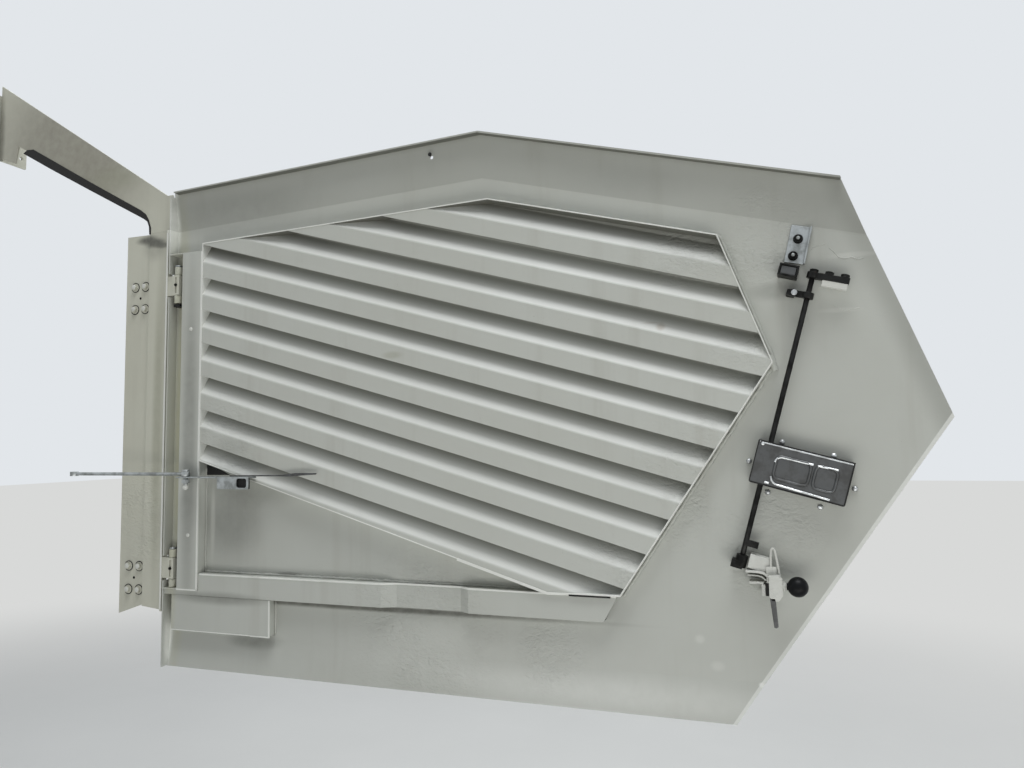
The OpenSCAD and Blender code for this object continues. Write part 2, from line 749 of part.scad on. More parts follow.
module stay_rod() color(zinc) translate([pivot_x, -stay_in, rod_z]) difference() {
    union() {
        for (x = [0, -stay_length]) translate([x, 0, -eye_h / 2]) cylinder(r = pivot_r + eye_wall, h = eye_h);
        translate([-stay_length + eye_r + eye_wall / 2, 0, 0]) rotate([0, 90, 0])
            cylinder(r = stay_r, h = stay_length - pivot_r - eye_wall - eye_r);
    }
    translate([0, 0, -eye_h]) cylinder(r = pivot_r + pin_gap, h = 2 * eye_h);
    translate([-stay_length, 0, -eye_h]) cylinder(r = eye_r, h = 2 * eye_h);
}

// The catch's corner, and the rod that reaches up to it
catch = [shoulder_x - catch_in, shoulder_z - catch_drop];
rod_foot_x = toe_x + rod_foot_out;
rod_length = (catch.y - rod_foot_z) / cos(rod_lean);

// Places its children s up the latch rod's axis, with +Z along the rod
module on_rod(s) translate([rod_foot_x, -rod_in, rod_foot_z]) rotate([0, rod_lean, 0]) translate([0, 0, s]) children();
module rod_bore(h) translate([0, 0, -1]) cylinder(r = rod_r + rod_gap, h = h + 2);

module latch_rod() color(dark_steel) on_rod(0) {
    cylinder(r = rod_r, h = rod_length);
    translate([0, -lug_width / 2, lug_start]) cube([lug_reach, lug_width, collar_h]);
}

module latch_hook() color(dark_steel) on_rod(rod_length - collar_h) difference() {
    union() {
        cylinder(r = collar_r, h = collar_h);
        translate([0, -hook_width / 2, 0]) cube([hook_reach, hook_width, collar_h]);
    }
    rod_bore(collar_h);
}
module latch_pad() color(white_paint) on_rod(rod_length - collar_h - pad_h)
    translate([pad_start, -hook_width / 2 + 1, 0]) cube([hook_reach - pad_start - 2, hook_width - 2, pad_h]);

module latch_lever() color(dark_steel) on_rod(0) difference() {
    union() {
        cylinder(r = collar_r, h = 2 * collar_h);
        translate([-collar_r - lug_width / 2, -collar_r, 0]) cube([collar_r + lug_width / 2, 2 * collar_r, collar_h]);
    }
    rod_bore(2 * collar_h);
}

module rod_guide() color(dark_steel) on_rod(rod_length - guide_drop) difference() {
    union() {
        cylinder(r = collar_r, h = collar_h);
        translate([-guide_reach, -lug_width / 2, 0]) cube([guide_reach, lug_width, collar_h]);
        translate([-guide_reach, 0, 0]) cube([guide_foot, rod_in, collar_h]);
    }
    rod_bore(collar_h);
}

module catch_plate() color(zinc) translate([catch.x + plate_side, 0, catch.y + plate_rise]) rotate([0, plate_lean, 0]) {
    upright(-plate_sheet, 0) square([plate_width, plate_height]);
    translate([plate_width - plate_sheet, -plate_turn, 0])
        cube([plate_sheet, plate_turn - plate_sheet, plate_height]);
}

module catch_block() color(dark_steel) translate([catch.x, 0, catch.y]) rotate([0, block_lean, 0]) difference() {
    upright(-block_depth, 0) square([block_width, block_height]);
    upright(-block_depth - 1, -block_wall) translate([block_wall, block_wall])
        square([block_width - 2 * block_wall, block_height - 2 * block_wall]);
}

module rounded(w, h, r) union() {
    translate([r, 0]) square([w - 2 * r, h]);
    translate([0, r]) square([w, h - 2 * r]);
    for (x = [r, w - r], y = [r, h - r]) translate([x, y]) circle(r);
}
// A ring-shaped bead pressed in the lock case
bead_height = case_height - bead_low - bead_high;
module bead(x, length) translate([x, bead_low]) difference() {
    rounded(length, bead_height, bead_corner);
    translate([bead_width, bead_width])
        rounded(length - 2 * bead_width, bead_height - 2 * bead_width, bead_corner - bead_width);
}

module lock_case() color(dark_steel) difference() {
    on_rod(0) translate([-case_side, rod_in, case_start]) {
        difference() {
            upright(-case_depth, 0) square([case_length, case_height]);
            upright(-case_depth + case_sheet, 1) translate([case_sheet, case_sheet])
                square([case_length - 2 * case_sheet, case_height - 2 * case_sheet]);
        }
        upright(-case_depth - bead_rise, -case_depth) {
            bead(bead_start, bead_first);
            bead(bead_start + bead_first + bead_space, bead_second);
        }
    }
    on_rod(0) cylinder(r = rod_r + case_gap, h = rod_length);
}

module handle_mount() color(white_paint) on_rod(mount_start)
    translate([collar_r + mount_gap, rod_in - mount_depth, 0]) cube([mount_width, mount_depth, mount_height]);

// The handle hangs from the mount's front by a link
handle_left = rod_foot_x + handle_x;
handle_low = rod_foot_z - handle_drop;
handle_front = -mount_depth - link_sheet;
module pull_handle() color(white_paint) {
    translate([handle_left - link_sheet, handle_front, handle_low + handle_height - link_height / 2])
        cube([handle_width - link_sheet, link_sheet, link_height]);
    translate([handle_left, handle_front - handle_depth, handle_low])
        cube([handle_width, handle_depth, handle_height]);
    translate([handle_left, handle_front - handle_depth, handle_low - blade_length])
        cube([blade_width, blade_sheet, blade_length]);
    translate([handle_left + handle_width, handle_front - handle_depth / 2, rod_foot_z - stem_drop])
        rotate([0, 90, 0]) cylinder(r = stem_r, h = stem_length);
}

module handle_ball() color([0.05, 0.05, 0.06])
    translate([handle_left + handle_width + stem_length, handle_front - handle_depth / 2, rod_foot_z - stem_drop]) {
        translate([ball_r + ball_neck, 0, 0]) sphere(r = ball_r);
        rotate([0, 90, 0]) cylinder(r = neck_r, h = ball_r);
    }

placed() hinge_post();
placed() frame_arm();
placed() arm_plate();
placed() leaf_high();
placed() leaf_low();
placed() pin_high();
placed() pin_low();
placed() door_sheet();
placed() hinge_channel();
placed() louvre();
placed() stiffener();
placed() corner_pocket();
placed() ears_high();
placed() ears_low();
placed() stay_shelf();
placed() stay_pin();
placed() stay_rod();
placed() latch_rod();
placed() latch_hook();
placed() latch_pad();
placed() latch_lever();
placed() catch_plate();
placed() catch_block();
placed() rod_guide();
placed() lock_case();
placed() handle_mount();
placed() pull_handle();
placed() handle_ball();
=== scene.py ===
import math
import bmesh
import bpy
from mathutils import Matrix, Vector


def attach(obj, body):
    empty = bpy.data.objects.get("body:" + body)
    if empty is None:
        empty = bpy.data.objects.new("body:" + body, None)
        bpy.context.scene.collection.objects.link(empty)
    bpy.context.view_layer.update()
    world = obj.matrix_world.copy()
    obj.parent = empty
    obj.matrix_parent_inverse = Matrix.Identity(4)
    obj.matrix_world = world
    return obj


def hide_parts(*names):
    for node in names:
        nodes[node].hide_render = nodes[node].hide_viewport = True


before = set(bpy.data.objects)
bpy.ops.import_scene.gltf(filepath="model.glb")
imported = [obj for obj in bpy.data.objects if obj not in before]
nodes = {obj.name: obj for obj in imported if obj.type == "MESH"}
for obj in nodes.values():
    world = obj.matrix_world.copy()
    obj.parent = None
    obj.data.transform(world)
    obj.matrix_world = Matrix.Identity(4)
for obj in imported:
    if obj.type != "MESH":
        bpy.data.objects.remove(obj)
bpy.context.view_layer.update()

# The door's lower corner by the hinges, in the part's frame and in metres
DOOR_CORNER = Vector((0.140, -0.012, -1.106))


def at(x, y, z):
    """A place on the door, in millimetres: x from the hinge edge, y from the sheet's inner face
    towards its outer side, and z up from the lower corner. It gives metres in the part's frame."""
    return DOOR_CORNER + Vector((x, y, z)) / 1000


def places(points):
    return [at(*point) for point in points]


def colour(red, green, blue):
    """A colour as the eye reads it, 0 to 255, made linear."""
    def linear(c):
        c /= 255
        return c / 12.92 if c < 0.04045 else ((c + 0.055) / 1.055) ** 2.4
    return (linear(red), linear(green), linear(blue), 1)


# Finishes

class Amount:
    """A socket of a shader tree. Arithmetic on it adds Math nodes."""

    def __init__(self, shading, socket):
        self.shading = shading
        self.socket = socket

    def maths(self, operation, *others):
        values = dict(enumerate((self,) + others))
        return self.shading.node("ShaderNodeMath", {"operation": operation}, values)

    def __add__(self, other):
        return self.maths("ADD", other)

    def __sub__(self, other):
        return self.maths("SUBTRACT", other)

    def __mul__(self, other):
        return self.maths("MULTIPLY", other)

    def __rsub__(self, other):
        return self * -1 + other

    __radd__ = __add__
    __rmul__ = __mul__


class Shading:
    """Adds nodes to one shader tree."""

    def __init__(self, tree):
        self.tree = tree

    def feed(self, socket, value):
        if isinstance(value, Amount):
            self.tree.links.new(value.socket, socket)
        else:
            socket.default_value = value

    def node(self, kind, settings=None, sockets=None, output=0):
        made = self.tree.nodes.new(kind)
        for name, value in (settings or {}).items():
            setattr(made, name, value)
        for name, value in (sockets or {}).items():
            self.feed(made.inputs[name], value)
        return Amount(self, made.outputs[output])

    def show(self, surface):
        """Makes a shader what the tree puts out."""
        out = next(node for node in self.tree.nodes if node.type.startswith("OUTPUT"))
        self.feed(out.inputs["Surface"], surface)


class Finish(Shading):
    """One material of the door, which also keeps a slot name."""

    def __init__(self, name, slot, base=None, **sockets):
        self.material = bpy.data.materials.new(name)
        self.material.use_nodes = True
        super().__init__(self.material.node_tree)
        self.slot = slot
        self.base = base
        self.shader = self.tree.nodes["Principled BSDF"]
        self.place = self.node("ShaderNodeTexCoord", output="Object")
        self.set(**sockets)

    def set(self, **sockets):
        for name, value in sockets.items():
            self.feed(self.shader.inputs[name.replace("_", " ")], value)

    def coat(self, amount, tone):
        """Lays a tone over the colour made so far, where and as strongly as the amount says."""
        self.base = self.mix(amount, self.base, tone)
        self.set(Base_Color=self.base)

    def along(self, axis):
        """How far a point lies along an axis of the part, in metres."""
        return self.node("ShaderNodeSeparateXYZ", None, {0: self.place}, output=axis)

    def noise(self, scale, detail=3, roughness=0.5, stretch=None, distortion=0):
        place = self.place
        if stretch:
            place = self.node("ShaderNodeMapping", None, {"Vector": place, "Scale": stretch})
        return self.node("ShaderNodeTexNoise", None, {
            "Vector": place, "Scale": scale, "Detail": detail, "Roughness": roughness,
            "Distortion": distortion})

    def step(self, value, low, high):
        """0 below low, 1 above high, and smooth between."""
        return self.node("ShaderNodeMapRange", {"interpolation_type": "SMOOTHSTEP"}, {
            "Value": value, "From Min": low, "From Max": high})

    def near(self, point, reach):
        """1 at a point of the part, falling to 0 at reach from it."""
        away = self.node("ShaderNodeVectorMath", {"operation": "DISTANCE"},
                         {0: self.place, 1: point}, output="Value")
        return 1 - self.step(away, reach * 0.3, reach)

    def blot(self, point, reach):
        """1 at a point, falling softly to 0 at its own reach in millimetres along each axis."""
        scale = [1000 / r for r in reach]
        moved = self.node("ShaderNodeMapping", None, {
            "Vector": self.place, "Scale": scale,
            "Location": [-c * k for c, k in zip(point, scale)]})
        away = self.node("ShaderNodeVectorMath", {"operation": "LENGTH"}, {0: moved},
                         output="Value")
        return 1 - self.step(away, 0.25, 1)

    def mix(self, amount, a, b):
        return self.node("ShaderNodeMix", {"data_type": "RGBA"}, {0: amount, 6: a, 7: b}, output=2)

    def bump(self, height, depth, under=None):
        sockets = {"Height": height, "Distance": depth, "Strength": 1.0}
        if under:
            sockets["Normal"] = under
        return self.node("ShaderNodeBump", None, sockets)

    def crevices(self, reach):
        """1 in corners and gaps, 0 out in the open."""
        return 1 - self.node("ShaderNodeAmbientOcclusion", {"samples": 4}, {"Distance": reach},
                             output="AO")

    def on(self, obj):
        obj.data.materials.clear()
        obj.data.materials.append(self.material)


# Tones laid over the paint: SHADE for painted shade, LIGHT for painted highlights, PALE for
# painted highlights and pale spots, OLIVE and BROWN for tones and stains of the paint, and the
# rest for streaks, grime with painted shade in corners, and specks
SHADE = colour(96, 96, 88)
OLIVE = colour(150, 150, 130)
BROWN = colour(128, 108, 74)
PALE = colour(206, 207, 200)
LIGHT = colour(240, 241, 236)
STREAK_TONE = colour(150, 146, 134)
GRIME_AND_SHADE_TONE = colour(104, 101, 91)
SPECK_TONE = colour(112, 104, 90)

# Marks stay on the inner side of the sheet: they end at this depth in metres, over this fade
FRONT_END, FRONT_FADE = -0.0112, 0.002


def paint(name, slot, tone, dusty, rippled, ripple_spots=(), marks_and_light=()):
    """Brushed and sprayed satin paint on sheet steel, thick and rippled where it was touched up.

    A ripple spot is a place and its reach, and a mark is a place, its reach along x, y and z,
    its tone and how strong it is, all lengths in millimetres on the door."""
    made = Finish(name, slot, tone)
    # Relief: ripples where the paint was touched up, on waves in the sheet, and a fine peel
    ripples = made.noise(75, 4, 0.55, stretch=(1, 1, 1.5), distortion=0.6)
    touched = made.noise(3, 2) * rippled
    for point, reach in ripple_spots:
        touched = touched.maths("MAXIMUM", made.near(at(*point), reach / 1000))
    patchy = made.step(made.noise(9, 3), 0.35, 0.65)
    waves = made.bump(made.noise(2.2, 2), 0.004)
    skin = made.bump(ripples * touched * (patchy * 0.6 + 0.4), 0.006, waves)
    peel = made.bump(made.noise(420, 2), 0.00012, skin)
    # Colour: clouds of dust, streaks down the sheet, grime and painted shade in its corners,
    # specks, and the blots of the tables, most of them painted shade and painted highlights
    clouds = made.step(made.noise(1.6, 5, 0.6), 0.3, 0.7)
    streaks = made.step(made.noise(14, 4, 0.6, stretch=(1, 1, 0.07)), 0.52, 0.8)
    specks = made.step(made.noise(160, 2, 0.7), 0.71, 0.76) * made.step(made.noise(4, 2), 0.5, 0.7)
    grime_and_shade = made.step(made.crevices(0.03), 0.25, 0.95)
    made.coat(clouds * 0.5, dusty)
    made.coat(streaks * 0.22, STREAK_TONE)
    made.coat(grime_and_shade * 0.5, GRIME_AND_SHADE_TONE)
    made.coat(specks * 0.6, SPECK_TONE)
    in_front = 1 - made.step(made.along("Y"), FRONT_END, FRONT_END + FRONT_FADE)
    ragged = (made.noise(38, 4, 0.6) * 0.7 + 0.65) * in_front
    # Blots of painted shade, painted light, stains and scratches, on the inner side only
    for point, reach, mark_tone, strength in marks_and_light:
        made.coat(made.blot(at(*point), reach) * ragged * strength, mark_tone)
    made.set(Normal=peel,
             Roughness=0.42 + clouds * 0.12 + made.noise(30, 3) * 0.1 + grime_and_shade * 0.2)
    return made


# Where the upper corner by the hinge catches the light, on the door and on the post
CORNER_LIGHT = ((-2, -20, 1325), (24, 60, 130), colour(240, 241, 234), 0.95)
DOOR_RIPPLES = [
    ((1690, 0, 400), 160), ((1700, 0, 1120), 150), ((830, 0, 160), 300), ((1180, 0, 120), 120),
    ((1500, 0, 480), 120)]
# Blots on the door, mostly painted light: the SHADE ones are painted shadows under the stiffener,
# the pocket, the shelf and the upper latch and beside the handle, and painted shade over the
# channel, the left and the upper corners; the pale and light ones are painted highlights on the
# hinge edge, the channel's edge, the pocket's side, the lower part of the sheet and its bottom
# edge. The first is a yellowish strip along the hinge edge, and a few small pale spots lie here
# and there.
DOOR_MARKS_AND_PAINTED_LIGHT = [
    ((28, -10, 700), (36, 70, 900), colour(186, 185, 160), 0.9),
    ((660, -2, 203), (860, 14, 13), SHADE, 0.9),
    ((200, -28, 208), (220, 8, 26), SHADE, 0.45),
    ((300, -2, 92), (120, 12, 34), SHADE, 0.5),
    ((375, -14, 160), (7, 24, 70), PALE, 0.8),
    ((90, -35, 640), (36, 8, 700), SHADE, 0.4),
    ((2, -10, 80), (16, 26, 110), colour(235, 236, 230), 1.0),
    ((220, -2, 430), (160, 12, 150), SHADE, 0.3),
    ((220, -2, 1350), (380, 14, 110), SHADE, 0.28),
    ((1500, -2, 1350), (340, 12, 140), SHADE, 0.28),
    ((1850, -2, 1150), (160, 12, 260), SHADE, 0.12),
    ((1000, -2, 100), (700, 12, 110), PALE, 0.3),
    ((1300, -2, 14), (660, 14, 92), colour(228, 229, 223), 0.6),
    ((1150, -2, -2), (800, 14, 12), LIGHT, 0.6),
    CORNER_LIGHT,
    ((180, -2, 470), (130, 12, 180), SHADE, 0.12),
    ((300, -2, 520), (200, 12, 70), SHADE, 0.3),
    ((420, -2, 282), (60, 12, 8), SHADE, 0.5),
    ((126, -17, 430), (7, 40, 260), PALE, 0.5),
    ((1541, 0, 182), (16, 20, 14), PALE, 0.7),
    ((1580, 0, 124), (22, 20, 16), PALE, 0.6),
    ((1675, 0, 90), (9, 20, 8), LIGHT, 0.8),
    ((1545, -2, 24), (34, 20, 10), PALE, 0.5),
    ((1905, 0, 1055), (70, 20, 9), PALE, 0.5),
    ((1872, 0, 931), (60, 20, 8), PALE, 0.5),
    ((116, 0, 543), (20, 60, 90), PALE, 0.4),
    ((151, 0, 420), (12, 20, 150), PALE, 0.6),
    ((1735, 0, 985), (80, 20, 30), SHADE, 0.3),
    ((1690, 0, 340), (60, 20, 60), SHADE, 0.25)]
LOUVRE_RIPPLES = [
    ((1330, -36, 320), 120), ((1560, -20, 560), 220), ((1700, -20, 820), 160),
    ((1560, -20, 1120), 200), ((200, -20, 640), 200)]
# Blots on the louvre: brown stains, an olive patch, and a faint painted shade at its left end
LOUVRE_MARKS_AND_PAINTED_SHADE = [
    ((1474, -28, 916), (16, 30, 16), BROWN, 1.0),
    ((1452, -30, 926), (34, 30, 4), BROWN, 0.6),
    ((760, -35, 880), (40, 40, 14), OLIVE, 0.4),
    ((240, -35, 640), (90, 40, 40), SHADE, 0.15)]
# Blots on the post and the arm: painted shadows in the hollow where the arm meets the post and at
# the arm's left end, the corner's painted light, olive and paler tones, and a darker tone over the
# arm
POST_MARKS_AND_PAINTED_LIGHT = [
    ((-55, -10, 700), (26, 40, 640), OLIVE, 0.5),
    ((-116, -10, 1288), (60, 40, 20), SHADE, 1.0),
    ((-80, -10, 1274), (60, 40, 20), SHADE, 0.95),
    ((-48, -10, 1264), (40, 40, 13), SHADE, 0.8),
    ((-80, -10, 1262), (70, 40, 60), SHADE, 0.3),
    ((-60, -10, 1480), (40, 40, 60), colour(190, 189, 176), 0.8),
    CORNER_LIGHT,
    ((-763, 0, 1700), (30, 90, 220), SHADE, 0.7),
    ((-420, -10, 1620), (520, 90, 420), colour(136, 132, 120), 0.75),
    ((-250, -10, 1500), (160, 40, 60), OLIVE, 0.4)]

door_paint = paint("door_paint", "paint", colour(190, 192, 185), colour(180, 181, 172), 0.06,
                   DOOR_RIPPLES, DOOR_MARKS_AND_PAINTED_LIGHT)
# A lighter copy of the door's paint, used for painted highlights along edges
highlight_paint = paint("highlight_paint", "paint", colour(232, 233, 227), colour(214, 215, 208), 0.1)
louvre_paint = paint("louvre_paint", "paint", colour(192, 194, 187), colour(184, 185, 176), 0.16,
                     LOUVRE_RIPPLES, LOUVRE_MARKS_AND_PAINTED_SHADE)
post_paint = paint("post_paint", "paint", colour(202, 202, 188), colour(190, 188, 172), 0.05,
                   [((-90, 0, 420), 200)], POST_MARKS_AND_PAINTED_LIGHT)
# A dark copy of the paint, used for painted shade under edges
shade_lining_paint = paint("shade_lining_paint", "paint", colour(104, 105, 97), SHADE, 0.05)
white_paint = paint("white_paint", "white_paint", colour(214, 215, 209), colour(196, 195, 186),
                    0.3, [((1690, -40, 370), 200)])

# Painted shade darkens the slats inwards, and painted light brightens their webs where they leave
# the lips
louvre_depth = louvre_paint.along("Y")
web_shade = louvre_paint.step(louvre_depth, -0.036, -0.024)
web_light = (louvre_paint.step(louvre_depth, -0.0468, -0.043)
             * (1 - louvre_paint.step(louvre_depth, -0.034, -0.014)))
louvre_paint.coat(web_shade * 0.66, SHADE)
louvre_paint.coat(web_light * 0.55, LIGHT)


# Slanting lines on the sheet: how much x and z count, and where the step over it starts and
# ends, in metres in the part's frame
RIM_LEFT = (-0.0435, 1, 0.1878, 0.1898)
RIM_RIGHT = (0.2672, 1, 0.5450, 0.5470)
UPPER_EDGE = (0.9381, 0.3463, 1.885, 1.938)
LOWER_EDGE = (0.826, -0.564, 2.0679, 2.0700)


def beyond(line):
    """0 on the sheet's side of a slanting line, 1 past it, and smooth between."""
    across, up, start, end = line
    return door_paint.step(door_paint.along("X") * across + door_paint.along("Z") * up, start, end)


inner_side = 1 - door_paint.step(door_paint.along("Y"), -0.012, -0.009)
# The folded rim along the top leans in and takes less light
rim = beyond(RIM_LEFT).maths("MAXIMUM", beyond(RIM_RIGHT))
door_paint.coat(rim * inner_side * 0.22, SHADE)
# Painted shade darkens the sheet towards its cut edge at the upper right, and painted light
# brightens the lower edge
door_paint.coat(beyond(UPPER_EDGE) * inner_side * 0.3, SHADE)
door_paint.coat(beyond(LOWER_EDGE) * inner_side * 0.6, LIGHT)


def steel(name, slot, tone, dull, rough, worn):
    """Bare or plated steel: scratches along the part, dull patches and a few rusty specks."""
    made = Finish(name, slot, tone)
    scratches = made.noise(260, 3, 0.7, stretch=(1, 1, 0.12))
    patches = made.step(made.noise(34, 4, 0.6), 0.38, 0.66)
    rust = made.step(made.noise(90, 4, 0.65), 0.66, 0.76)
    # Corners and gaps turn darker and less metallic: grime, and painted shade
    grime_and_shade = made.step(made.crevices(0.012), 0.2, 0.9)
    made.coat(patches, dull)
    made.coat(rust * worn, colour(96, 66, 44))
    made.coat(grime_and_shade * 0.6, colour(38, 35, 32))
    made.set(Metallic=1 - rust * worn * 0.7 - grime_and_shade * 0.4,
             Roughness=rough + patches * 0.2 + scratches * 0.12,
             Normal=made.bump(scratches, 0.00025, made.bump(made.noise(60, 3), 0.0006)))
    return made


zinc = steel("zinc_plate", "zinc", colour(176, 180, 180), colour(140, 143, 141), 0.3, 0.25)
dark_steel = steel("dark_steel", "dark_steel", colour(47, 47, 46), colour(32, 32, 31), 0.34, 0.5)
case_steel = steel("case_steel", "dark_steel", colour(96, 97, 97), colour(84, 84, 83), 0.34, 0.15)
# A brighter copy of the steel, for bright screws and for painted highlights on the lock case
bright_steel_and_highlights = steel("bright_steel_and_highlights", "zinc", colour(226, 228, 228), colour(178, 180, 180), 0.22,
                     0.1)

# Black for seams and sockets, and for dark pieces that are painted shade in gaps, holes and under
# edges
black_seams_and_shade = Finish("black_seams_and_shade", "dark_steel", colour(20, 20, 20))
pad_grain = black_seams_and_shade.noise(240, 4)
black_seams_and_shade.coat(pad_grain, colour(36, 35, 33))
black_seams_and_shade.set(Roughness=0.8 + pad_grain * 0.15, Normal=black_seams_and_shade.bump(pad_grain, 0.0008))

ball_black = Finish("ball_black", "ball", colour(7, 8, 10), Specular_IOR_Level=0.15)
ball_black.coat(ball_black.step(ball_black.noise(60, 4), 0.5, 0.8), colour(30, 30, 29))
ball_black.set(Roughness=0.28 + ball_black.noise(90, 3) * 0.25)


# Finishes and rounded edges of the solids

def round_edges(obj, width, angle):
    """Rounds the edges that turn by more than an angle in degrees, by a width in metres."""
    edge = obj.modifiers.new("edge", "BEVEL")
    edge.width = width
    edge.segments = 2
    edge.limit_method = "ANGLE"
    edge.angle_limit = math.radians(angle)
    edge.harden_normals = True


NODE_FINISH = {
    post_paint: ["hinge_post", "frame_arm", "arm_plate", "leaf_high", "leaf_low"],
    door_paint: ["door_sheet", "hinge_channel", "stiffener", "corner_pocket", "ears_high",
                 "ears_low"],
    white_paint: ["latch_pad", "handle_mount"],
    zinc: ["pin_high", "pin_low", "stay_shelf", "stay_pin", "stay_rod", "catch_plate"],
    dark_steel: ["latch_rod", "latch_hook", "latch_lever", "catch_block", "rod_guide"],
    case_steel: ["lock_case"],
    ball_black: ["handle_ball"],
}
FOLDED_SHEET = ("hinge_channel", "stiffener", "corner_pocket")
FOLD_RADIUS, CUT_RADIUS = 0.0022, 0.0012

for finish, names in NODE_FINISH.items():
    for name in names:
        node = nodes[name]
        finish.on(node)
        weld = node.modifiers.new("weld", "WELD")
        weld.merge_threshold = 1e-6
        flat = node.modifiers.new("flat", "DECIMATE")
        flat.decimate_type = "DISSOLVE"
        flat.angle_limit = math.radians(0.4)
        round_edges(node, FOLD_RADIUS if name in FOLDED_SHEET else CUT_RADIUS, 40)


# Making pieces

class ShapeTree:
    """A Geometry Nodes tree with named inputs, turned into a plain mesh by make()."""

    KINDS = {int: "NodeSocketInt", float: "NodeSocketFloat", tuple: "NodeSocketVector"}

    def __init__(self, name, **inputs):
        self.group = bpy.data.node_groups.new(name, "GeometryNodeTree")
        self.inputs = inputs
        sockets = self.group.interface
        sockets.new_socket("Geometry", in_out="INPUT", socket_type="NodeSocketGeometry")
        self.keys = {}
        for size, value in inputs.items():
            kind = self.KINDS[type(value)]
            self.keys[size] = sockets.new_socket(size, in_out="INPUT", socket_type=kind).identifier
        sockets.new_socket("Geometry", in_out="OUTPUT", socket_type="NodeSocketGeometry")
        self.start = self.group.nodes.new("NodeGroupInput")
        self.shape = self.start.outputs["Geometry"]

    def __getitem__(self, size):
        return self.start.outputs[size]

    def node(self, kind, settings=None, sockets=None, output=0):
        made = self.group.nodes.new(kind if kind.startswith("Shader") else "GeometryNode" + kind)
        for name, value in (settings or {}).items():
            setattr(made, name, value)
        for name, value in (sockets or {}).items():
            if isinstance(value, bpy.types.NodeSocket):
                self.group.links.new(value, made.inputs[name])
            else:
                made.inputs[name].default_value = value
        return made.outputs[output]

    def maths(self, operation, *values):
        return self.node("ShaderNodeMath", {"operation": operation}, dict(enumerate(values)))

    def vector(self, **parts):
        return self.node("ShaderNodeCombineXYZ", sockets=parts)

    def end(self, shape, finish):
        real = self.node("RealizeInstances", sockets={"Geometry": shape})
        coated = self.node("SetMaterial", sockets={"Geometry": real, "Material": finish.material})
        out = self.group.nodes.new("NodeGroupOutput")
        self.group.links.new(coated, out.inputs["Geometry"])

    def spread(self, thing, finish):
        """Ends the tree with a copy of a thing on every point, turned by the input Turn."""
        self.end(self.node("InstanceOnPoints", sockets={
            "Points": self.shape, "Instance": thing, "Rotation": self["Turn"]}), finish)

    def make(self, points, edges=(), **values):
        """The mesh that the tree gives for these points and sizes, all in metres."""
        seed = bpy.data.meshes.new("seed")
        seed.from_pydata([tuple(p) for p in points], list(edges), [])
        holder = bpy.data.objects.new("seed", seed)
        bpy.context.scene.collection.objects.link(holder)
        modifier = holder.modifiers.new("tree", "NODES")
        modifier.node_group = self.group
        for size, value in {**self.inputs, **values}.items():
            modifier[self.keys[size]] = value
        ready = holder.evaluated_get(bpy.context.evaluated_depsgraph_get())
        mesh = bpy.data.meshes.new_from_object(ready)
        holder.modifiers.clear()
        bpy.data.objects.remove(holder)
        return mesh


def piece(name, mesh, finish, rounded=0.0, body="door", slot=None):
    """A finished piece that rides on a body, its edges rounded by a width in millimetres."""
    obj = bpy.data.objects.new(name, mesh)
    bpy.context.scene.collection.objects.link(obj)
    finish.on(obj)
    if rounded:
        round_edges(obj, rounded / 1000, 35)
    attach(obj, body)
    return obj


def tidy(bm):
    """Merges doubled points and turns the faces outwards."""
    bmesh.ops.remove_doubles(bm, verts=bm.verts, dist=1e-6)
    bmesh.ops.recalc_face_normals(bm, faces=bm.faces)


def new_mesh(name, fill, tidied=True):
    """A mesh from a function that fills a bmesh."""
    bm = bmesh.new()
    fill(bm)
    if tidied:
        tidy(bm)
    mesh = bpy.data.meshes.new(name)
    bm.to_mesh(mesh)
    bm.free()
    return mesh


def joined(name, meshes):
    """Several meshes as one, each left as it is."""
    def fill(bm):
        for mesh in meshes:
            bm.from_mesh(mesh)
    return new_mesh(name, fill, tidied=False)


def skin(bm, sections, capped=True):
    """A body through sections of equally many places, closed at both ends or run into a ring."""
    rings = [[bm.verts.new(place) for place in places(section)] for section in sections]
    for ring, after in zip(rings, rings[1:] if capped else rings[1:] + rings[:1]):
        for i in range(len(ring)):
            j = (i + 1) % len(ring)
            bm.faces.new((ring[i], after[i], after[j], ring[j]))
    if capped:
        bm.faces.new(rings[0])
        bm.faces.new(reversed(rings[-1]))


def prism(bm, outline, front, back):
    """A plate: an (x, z) outline between two depths."""
    skin(bm, [[(x, y, z) for x, z in outline] for y in (front, back)])


def plates(name, shapes, finish, rounded=0.0, **belongs):
    """A piece of plates, each an (x, z) outline and the depths of its front and back."""
    def fill(bm):
        for outline, front, back in shapes:
            prism(bm, outline, front, back)
    return piece(name, new_mesh(name, fill), finish, rounded, **belongs)


def fixings(name, tree, points, finish, rounded=0.0, body="door", **sizes):
    """A piece with the shape of a tree at every place."""
    return piece(name, tree.make(places(points), **sizes), finish, rounded, body)


def box(x0, x1, z0, z1):
    """A rectangle as an outline."""
    return [(x0, z0), (x1, z0), (x1, z1), (x0, z1)]


def leaning(outline, degrees, foot):
    """An outline turned clockwise about its origin, which is put on a foot."""
    c, s = math.cos(math.radians(degrees)), math.sin(math.radians(degrees))
    return [(foot[0] + x * c + z * s, foot[1] - x * s + z * c) for x, z in outline]


def sides_of(outline):
    """Each corner of an outline with the next one."""
    return zip(outline, outline[1:] + outline[:1])


